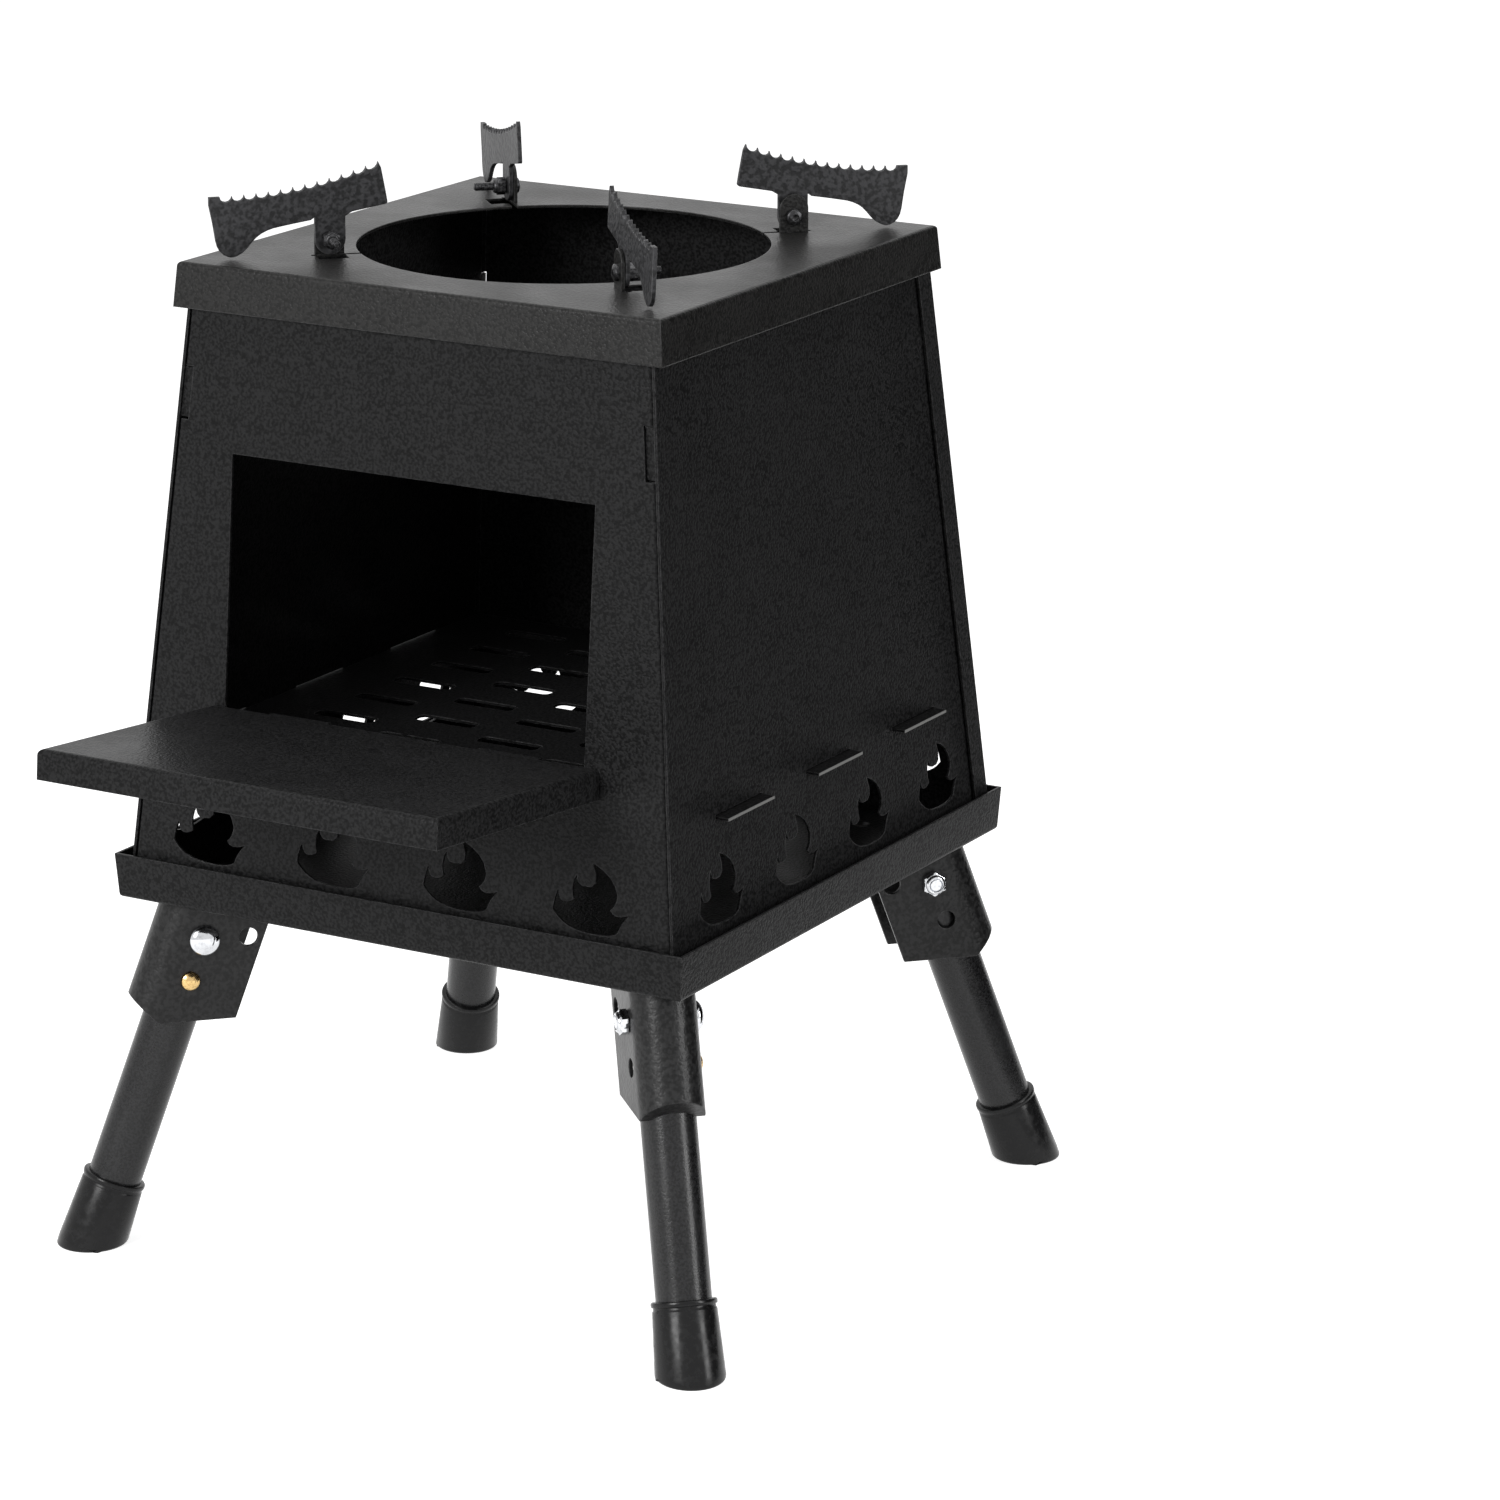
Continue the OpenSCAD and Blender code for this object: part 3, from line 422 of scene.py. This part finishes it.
def nut_rows(width, height, radius):
    """Rows of a lock nut round a screw of that radius: chamfered hexagon, then a round collar."""
    half = width / 2
    collar = width * NUT_COLLAR_SHARE
    chamfer = width * NUT_CHAMFER_SHARE
    flats_h = height * NUT_FLATS_SHARE
    return [
        (radius, 0),
        (half * NUT_FACE_SHARE, 0),
        (half, chamfer, HEXAGON),
        (half, flats_h - chamfer, HEXAGON),
        (half * NUT_FACE_SHARE, flats_h),
        (collar, flats_h),
        (collar, height - 2 * chamfer),
        (collar - chamfer, height - chamfer / 2),
        (collar - 2 * chamfer, height),
        (radius, height),
    ]


# The node tree that winds a thread on a fastener and sets it round the stove's upright axis
fastener_tree = bpy.data.node_groups.new("threaded_and_set_round", "GeometryNodeTree")
for label, kind in (
    ("Fastener", "Geometry"),
    ("Threaded", "Bool"),
    ("Thread length", "Float"),
    ("Thread radius", "Float"),
    ("Pitch", "Float"),
    ("Thread start", "Float"),
    ("Place", "Vector"),
    ("Turn", "Vector"),
    ("Axis", "Vector"),
    ("Copies", "Int"),
    ("Finish", "Material"),
):
    fastener_tree.interface.new_socket(name=label, in_out="INPUT", socket_type="NodeSocket" + kind)
fastener_tree.interface.new_socket(name="Set", in_out="OUTPUT", socket_type="NodeSocketGeometry")
given = fastener_tree.nodes.new("NodeGroupInput").outputs
made_set = fastener_tree.nodes.new("NodeGroupOutput").inputs["Set"]


def tree_node(kind, **values):
    """A node of the fastener tree. Inputs are sockets or values, named with _ for a space."""
    node = fastener_tree.nodes.new(kind)
    for label, value in values.items():
        socket = node.inputs[label.replace("_", " ")]
        if isinstance(value, bpy.types.NodeSocket):
            fastener_tree.links.new(value, socket)
        else:
            socket.default_value = value
    return node


turns = sum_node(fastener_tree, "DIVIDE", given["Thread length"], given["Pitch"])
ridge_r = sum_node(fastener_tree, "MULTIPLY", given["Pitch"], THREAD_DEPTH_SHARE)
middle_r = sum_node(fastener_tree, "SUBTRACT", given["Thread radius"], ridge_r)
winding = tree_node(
    "GeometryNodeCurveSpiral",
    Resolution=24,
    Rotations=turns,
    Start_Radius=middle_r,
    End_Radius=middle_r,
    Height=given["Thread length"],
)
ridge = tree_node("GeometryNodeCurvePrimitiveCircle", Resolution=4, Radius=ridge_r)
wound = tree_node(
    "GeometryNodeCurveToMesh",
    Curve=winding.outputs["Curve"],
    Profile_Curve=ridge.outputs["Curve"],
    Fill_Caps=True,
)
start = tree_node("ShaderNodeCombineXYZ", Z=given["Thread start"])
thread = tree_node(
    "GeometryNodeTransform", Geometry=wound.outputs["Mesh"], Translation=start.outputs["Vector"]
)
joined = fastener_tree.nodes.new("GeometryNodeJoinGeometry")
fastener_tree.links.new(thread.outputs["Geometry"], joined.inputs["Geometry"])
fastener_tree.links.new(given["Fastener"], joined.inputs["Geometry"])
either = fastener_tree.nodes.new("GeometryNodeSwitch")
choices = (given["Threaded"], given["Fastener"], joined.outputs["Geometry"])
set_sockets(fastener_tree, either.inputs, choices)
placed = tree_node(
    "GeometryNodeTransform",
    Geometry=either.outputs["Output"],
    Translation=given["Place"],
    Rotation=given["Turn"],
)
stations = tree_node("GeometryNodeMeshLine", Count=given["Copies"], Offset=(0, 0, 0))
step = sum_node(fastener_tree, "DIVIDE", 2 * math.pi, given["Copies"])
station = fastener_tree.nodes.new("GeometryNodeInputIndex").outputs["Index"]
heading = tree_node("ShaderNodeCombineXYZ", Z=sum_node(fastener_tree, "MULTIPLY", station, step))
copies = tree_node(
    "GeometryNodeInstanceOnPoints",
    Points=stations.outputs["Mesh"],
    Instance=placed.outputs["Geometry"],
    Rotation=heading.outputs["Vector"],
)
centred = tree_node(
    "GeometryNodeTransform", Geometry=copies.outputs["Instances"], Translation=given["Axis"]
)
realized = tree_node("GeometryNodeRealizeInstances", Geometry=centred.outputs["Geometry"])
finished = tree_node(
    "GeometryNodeSetMaterial", Geometry=realized.outputs["Geometry"], Material=given["Finish"]
)
fastener_tree.links.new(finished.outputs["Geometry"], made_set)


def along(joint):
    """The matrix from a pin's own frame, Z along the joint's axis, to its place on the stove."""
    pin = Vector(joint["axis"])
    up = Vector((0, 0, 1))
    turn = Matrix((pin.cross(up), -up, pin)).transposed()
    return Matrix.Translation(joint["pos_m"]) @ turn.to_4x4()


def add_object(name, data):
    """A new object in the scene, at the origin."""
    added = bpy.data.objects.new(name, data)
    bpy.context.scene.collection.objects.link(added)
    return added


def set_round(name, rows, joint, finish, closed=False, thread=None):
    """A piece with four copies of a turned fastener, one at each corner's joint.

    The joint is the rear right corner's. A thread is its start, length, radius and pitch.
    """
    piece = add_object(name, as_mesh(turned(rows, closed), name))
    opposite = joints[joint["name"].replace("rear_right", "front_left")]
    axis = (Vector(joint["pos_m"]) + Vector(opposite["pos_m"])) / 2
    axis.z = 0
    place = along(joint)
    start_level, length, radius, pitch = thread or (0, 0, 0, 0)
    values = {
        "Threaded": thread is not None,
        "Thread start": start_level,
        "Thread length": length,
        "Thread radius": radius,
        "Pitch": pitch,
        "Place": place.translation - axis,
        "Turn": Vector(place.to_euler()),
        "Axis": axis,
        "Copies": len(CORNERS),
        "Finish": finish,
    }
    modifier = piece.modifiers.new("set", "NODES")
    modifier.node_group = fastener_tree
    for item in fastener_tree.interface.items_tree:
        if item.name in values:
            modifier[item.identifier] = values[item.name]
    evaluated = piece.evaluated_get(bpy.context.evaluated_depsgraph_get())
    mesh = bpy.data.meshes.new_from_object(evaluated)
    piece.modifiers.clear()
    piece.data = mesh
    return piece


M3_CORE_R = M3_R - 2 * THREAD_DEPTH_SHARE * M3_PITCH
support_pin = joints["support_swing_rear_right"]
support_screws = set_round(
    "support_screw_set",
    [(0, -M3_END), (M3_CORE_R * 0.8, -M3_END), (M3_CORE_R, -M3_END + M3_PITCH / 2)]
    + [(M3_CORE_R, -M3_NUT_FROM), (M3_R, -M3_NUT_FROM), (M3_R, LUG_SHEET), (M3_HEAD_R, LUG_SHEET)]
    + [(M3_HEAD_R, LUG_SHEET + M3_HEAD_H / 2)]
    + dome(M3_HEAD_R, LUG_SHEET + M3_HEAD_H / 2, LUG_SHEET + M3_HEAD_H)[1:5]
    + [(M3_SOCKET_R * 1.3, LUG_SHEET + M3_HEAD_H), (M3_SOCKET_R, LUG_SHEET + M3_HEAD_H * 0.97, HEXAGON)]
    + [(M3_SOCKET_R, LUG_SHEET + M3_HEAD_H - M3_SOCKET_DEPTH, HEXAGON)]
    + [(0, LUG_SHEET + M3_HEAD_H - M3_SOCKET_DEPTH * 1.2)],
    support_pin,
    oxide,
    thread=(-M3_END + M3_PITCH / 2, M3_END - M3_NUT_FROM - M3_PITCH, M3_R, M3_PITCH),
)
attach(support_screws, "lid")
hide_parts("support_screws")
m3_nut = nut_rows(M3_NUT_WIDTH, M3_NUT_H, M3_R)
support_nuts = set_round(
    "support_nut_set",
    [(radius, -M3_NUT_FROM - level, *flats) for radius, level, *flats in m3_nut],
    support_pin,
    oxide,
    closed=True,
)
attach(support_nuts, "lid")
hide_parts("support_nuts")

# Feed shelf: a folded tray of the same sheet, hooked into the sill of the fuel opening. Wood
# slides in over it, and its coat is as on the panels.
finish_nodes(("feed_shelf",), sheet_coat)

# Leg brackets: thicker sheet pressed to a channel round each leg's top, riveted under the tray
# before coating. The thicker metal takes a coarser, shinier hammered coat.
BRACKET_BLACK = (0.013, 0.013, 0.0132, 1)
BRACKET_ROUGHNESS = 0.33
BRACKET_SPECULAR = 0.24
BRACKET_GRAIN = 1.5 * MM
BRACKET_DEPTH = 0.05 * MM
bracket_coat = coat_material(
    "bracket_coat",
    BRACKET_BLACK,
    COAT_THIN_AND_HIGHLIGHT,
    BRACKET_ROUGHNESS,
    BRACKET_SPECULAR,
    BRACKET_GRAIN,
    BRACKET_DEPTH,
)
finish_nodes(["leg_bracket_" + corner for corner in CORNERS] + ["bracket_rivets"], bracket_coat)

# Pivot screws and lock nuts of the legs: zinc-plated M5, a smooth domed head on one cheek of
# the bracket and a lock nut on the other. The shank ends flush with its nut.
ZINC = (0.66, 0.67, 0.69, 1)
ZINC_DULL = (0.5, 0.51, 0.53, 1)
ZINC_ROUGHNESS = 0.08
M5_R = 2.5 * MM
M5_HEAD_R = 5.5 * MM
M5_HEAD_H = 3.6 * MM
M5_NUT_WIDTH = 8 * MM
M5_NUT_H = 4 * MM
CHEEK = 11.3 * MM
ZINC_MARKS = 700.0
ZINC_DEPTH = 0.006 * MM
zinc = metal_material("zinc_plate", ZINC, ZINC_DULL, ZINC_ROUGHNESS, ZINC_MARKS, ZINC_DEPTH)
leg_pin = joints["leg_fold_rear_right"]
M5_END = CHEEK + M5_NUT_H
pivot_screws = set_round(
    "pivot_screw_set",
    [(0, -M5_END), (M5_R * 0.8, -M5_END), (M5_R, -M5_END + M5_R / 5), (M5_R, CHEEK)]
    + [(M5_HEAD_R * 0.96, CHEEK), (M5_HEAD_R, CHEEK + M5_HEAD_H * 0.08)]
    + dome(M5_HEAD_R, CHEEK + M5_HEAD_H * 0.22, CHEEK + M5_HEAD_H, 12),
    leg_pin,
    zinc,
)
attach(pivot_screws, "stove")
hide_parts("pivot_screws")
m5_nut = nut_rows(M5_NUT_WIDTH, M5_NUT_H, M5_R)
pivot_nuts = set_round(
    "pivot_nut_set",
    [(radius, -CHEEK - level, *flats) for radius, level, *flats in m5_nut],
    leg_pin,
    zinc,
    closed=True,
)
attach(pivot_nuts, "stove")
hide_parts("pivot_nuts")

# Leg tubes: drawn steel tube with a thinner and smoother coat than the sheets. They turn on the
# pivot screws, and have a hole for the lock button.
TUBE_BLACK = (0.011, 0.011, 0.0116, 1)
TUBE_ROUGHNESS = 0.26
TUBE_SPECULAR = 0.34
TUBE_GRAIN = 0.8 * MM
TUBE_DEPTH = 0.02 * MM
tube_coat = coat_material(
    "tube_coat", TUBE_BLACK, COAT_THIN_AND_HIGHLIGHT, TUBE_ROUGHNESS, TUBE_SPECULAR, TUBE_GRAIN, TUBE_DEPTH
)
finish_nodes(["leg_tube_" + corner for corner in CORNERS], tube_coat)

# Rubber feet: moulded caps pushed over the tubes' ends, with a bead and a groove at the mouth.
# The sole is moulded level, so that it lies flat on the ground while the leg leans out.
RUBBER = (0.009, 0.009, 0.0094, 1)
RUBBER_GREY = (0.014, 0.014, 0.0145, 1)
RUBBER_ROUGHNESS = 0.22
RUBBER_SPECULAR = 0.22
RUBBER_MARKS = 400.0
RUBBER_DEPTH = 0.02 * MM
FOOT_SOLE_R = 12 * MM
FOOT_TOP_R = 11 * MM
FOOT_BEAD_R = 11.25 * MM
FOOT_GROOVE_R = 10.6 * MM
FOOT_BORE_R = 9.52 * MM
FOOT_LENGTH = 25.8 * MM
FOOT_BEAD = 2 * MM
FOOT_SOLE = 6 * MM
SOLE_ROUND = 1.1 * MM
rubber = metal_material(
    "moulded_rubber",
    RUBBER,
    RUBBER_GREY,
    RUBBER_ROUGHNESS,
    RUBBER_MARKS,
    RUBBER_DEPTH,
    metallic=0.0,
    specular=RUBBER_SPECULAR,
)
foot_rows = [
    (0, FOOT_SOLE),
    (FOOT_BORE_R, FOOT_SOLE),
    (FOOT_BORE_R, FOOT_LENGTH),
    (FOOT_BEAD_R - FOOT_BEAD / 4, FOOT_LENGTH),
    (FOOT_BEAD_R - FOOT_BEAD / 16, FOOT_LENGTH - FOOT_BEAD / 8),
    (FOOT_BEAD_R, FOOT_LENGTH - FOOT_BEAD / 3),
    (FOOT_BEAD_R, FOOT_LENGTH - FOOT_BEAD * 2 / 3),
    (FOOT_BEAD_R - FOOT_BEAD / 16, FOOT_LENGTH - FOOT_BEAD * 7 / 8),
    (FOOT_GROOVE_R, FOOT_LENGTH - FOOT_BEAD),
    (FOOT_GROOVE_R, FOOT_LENGTH - FOOT_BEAD * 1.4),
    (FOOT_TOP_R - FOOT_BEAD / 16, FOOT_LENGTH - FOOT_BEAD * 1.6),
    (FOOT_TOP_R, FOOT_LENGTH - FOOT_BEAD * 1.8),
    (FOOT_SOLE_R, 0),
    (FOOT_SOLE_R, -FOOT_SOLE_R),
]
for corner in CORNERS:
    mount = next(m for m in frame["record"]["mounts"] if m["name"] == "foot_" + corner)
    pivot = Vector(joints["leg_fold_" + corner]["pos_m"])
    sole = Vector(mount["pos_m"])
    up_leg = (pivot - sole).normalized()
    pin = Vector(joints["leg_fold_" + corner]["axis"])
    turn = Matrix((pin.cross(up_leg), -pin, up_leg)).transposed()
    made = turned(foot_rows)
    made.transform(Matrix.Translation(sole) @ turn.to_4x4())
    parts = made.verts[:] + made.edges[:] + made.faces[:]
    cut = bmesh.ops.bisect_plane(
        made, geom=parts, plane_co=(0, 0, 0), plane_no=(0, 0, -1), clear_outer=True
    )
    rim = [part for part in cut["geom_cut"] if isinstance(part, bmesh.types.BMEdge)]
    bmesh.ops.edgeloop_fill(made, edges=rim)
    bmesh.ops.bevel(made, geom=rim, offset=SOLE_ROUND, segments=4, profile=0.5, affect="EDGES")
    bmesh.ops.recalc_face_normals(made, faces=made.faces)
    foot = add_object("moulded_foot_" + corner, as_mesh(made, "moulded_foot_" + corner))
    foot.data.materials.append(rubber)
    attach(foot, "leg_" + corner)
    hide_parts("rubber_foot_" + corner)

# Lock buttons: turned brass, each on a V spring inside its leg tube. They snap through the
# bracket's cheek, and their domes are polished by thumbs.
BRASS = (0.72, 0.5, 0.22, 1)
BRASS_DARK = (0.42, 0.27, 0.1, 1)
BRASS_ROUGHNESS = 0.2
BRASS_MARKS = 900.0
BRASS_DEPTH = 0.008 * MM
brass = metal_material("button_brass", BRASS, BRASS_DARK, BRASS_ROUGHNESS, BRASS_MARKS, BRASS_DEPTH)
finish_nodes(["lock_clip_" + corner for corner in CORNERS], brass)

# Studio floor: a wide pale sheet. The camera, glossy and clear surfaces see it white, and it
# keeps the stove's soft shadow.
FLOOR_R = 60.0
FLOOR_SIDES = 64
FLOOR_ROUGHNESS = 0.9
FLOOR_COLOUR = (0.8, 0.8, 0.8, 1)
FLOOR_WHITE = 0.86
WHITE = (1, 1, 1, 1)
floor_material, floor_tree, floor_shader = new_material("studio_floor")
floor_shader.inputs["Base Color"].default_value = FLOOR_COLOUR
floor_shader.inputs["Roughness"].default_value = FLOOR_ROUGHNESS
floor_shader.inputs["Specular IOR Level"].default_value = 0.0
floor_shader.inputs["Emission Color"].default_value = WHITE


def seen_directly(tree):
    """1 where a ray comes from the camera, or from a glossy or a clear surface."""
    path = tree.nodes.new("ShaderNodeLightPath")
    seen = sum_node(tree, "MAXIMUM", path.outputs["Is Camera Ray"], path.outputs["Is Glossy Ray"])
    return sum_node(tree, "MAXIMUM", seen, path.outputs["Is Transmission Ray"])


glow = sum_node(floor_tree, "MULTIPLY", seen_directly(floor_tree), FLOOR_WHITE)
floor_tree.links.new(glow, floor_shader.inputs["Emission Strength"])
made = bmesh.new()
bmesh.ops.create_circle(made, cap_ends=True, segments=FLOOR_SIDES, radius=FLOOR_R)
floor = add_object("studio_floor", as_mesh(made, "studio_floor"))
floor.data.materials.append(floor_material)

# Studio air: an even grey that fills the shadows, and white where it is seen as a background.
AIR_LIGHT = 0.2
world = bpy.data.worlds.new("studio_air")
world.use_nodes = True
bpy.context.scene.world = world
air = world.node_tree.nodes["Background"]
air.inputs["Color"].default_value = WHITE
air_strength = step_node(world.node_tree, seen_directly(world.node_tree), 0.0, 1.0, AIR_LIGHT, 1.0)
world.node_tree.links.new(air_strength, air.inputs["Strength"])

# Lamps: a large soft one from the front left, a narrow one from the right for the tubes' and
# folds' highlights, and a broad one overhead.
AIM = (cad_low + cad_high) / 2
KEY_PLACE = (-0.45, -2.4, 1.3)
KEY_SIZE = (1.0, 1.1)
KEY_WATTS = 42
EDGE_PLACE = (2.4, 0.1, 1.0)
EDGE_SIZE = (0.6, 1.3)
EDGE_WATTS = 21
TOP_PLACE = (0.0, 0.3, 2.2)
TOP_SIZE = (1.6, 1.6)
TOP_WATTS = 15


def soft_lamp(name, place, size, watts):
    """A rectangular lamp that looks at the middle of the stove."""
    lamp = bpy.data.lights.new(name, "AREA")
    lamp.shape = "RECTANGLE"
    lamp.size, lamp.size_y = size
    lamp.energy = watts
    holder = add_object(name, lamp)
    holder.location = place
    holder.rotation_euler = (AIM - Vector(place)).to_track_quat("-Z", "Y").to_euler()


soft_lamp("key_lamp", KEY_PLACE, KEY_SIZE, KEY_WATTS)
soft_lamp("edge_lamp", EDGE_PLACE, EDGE_SIZE, EDGE_WATTS)
soft_lamp("top_lamp", TOP_PLACE, TOP_SIZE, TOP_WATTS)

# Black card: stands behind the stove's right side and lies on the floor before it, where only
# glossy surfaces see it. It keeps the panels on that side as dark as on the photograph.
CARD_CORNERS = ((0.25, 1.3), (1.3, 0.9), (1.6, 0.3))
CARD_NEAR_CORNERS = ((0.25, 0.2), (0.25, 0.0))
CARD_LOW = 1 * MM
CARD_TOP = 1.6
CARD_BLACK = (0.003, 0.003, 0.003, 1)
made = bmesh.new()
for first, second in zip(CARD_CORNERS, CARD_CORNERS[1:]):
    made.faces.new([made.verts.new((*spot, level)) for spot, level in (
        (first, CARD_LOW), (second, CARD_LOW), (second, CARD_TOP), (first, CARD_TOP)
    )])
lying = CARD_NEAR_CORNERS + CARD_CORNERS[::-1]
made.faces.new([made.verts.new((*spot, CARD_LOW)) for spot in lying])
card = add_object("black_card", as_mesh(made, "black_card"))
card_material, _, card_shader = new_material("black_card")
card_shader.inputs["Base Color"].default_value = CARD_BLACK
card_shader.inputs["Specular IOR Level"].default_value = 0.0
card.data.materials.append(card_material)
card.visible_camera = False
card.visible_diffuse = False
card.visible_shadow = False
card.visible_transmission = False

# Camera: fitted to the photograph's lid, tray, pot hole and feet, whose frame is square.
CAMERA_PLACE = (0.980385, -1.552068, 0.710636)
CAMERA_YAW = 29.721
CAMERA_PITCH = -16.206
CAMERA_ROLL = 0.224
CAMERA_LENS = 131.73
CAMERA_SENSOR = 36.0
CAMERA_FAR = 200.0
lens = bpy.data.cameras.new("photograph_view")
lens.lens = CAMERA_LENS
lens.sensor_width = CAMERA_SENSOR
lens.clip_end = CAMERA_FAR
camera = add_object("photograph_view", lens)
camera.matrix_world = (
    Matrix.Translation(CAMERA_PLACE)
    @ Matrix.Rotation(math.radians(CAMERA_YAW), 4, "Z")
    @ Matrix.Rotation(math.radians(90 + CAMERA_PITCH), 4, "X")
    @ Matrix.Rotation(math.radians(CAMERA_ROLL), 4, "Z")
)
bpy.context.scene.camera = camera
bpy.context.scene.view_settings.view_transform = "Standard"
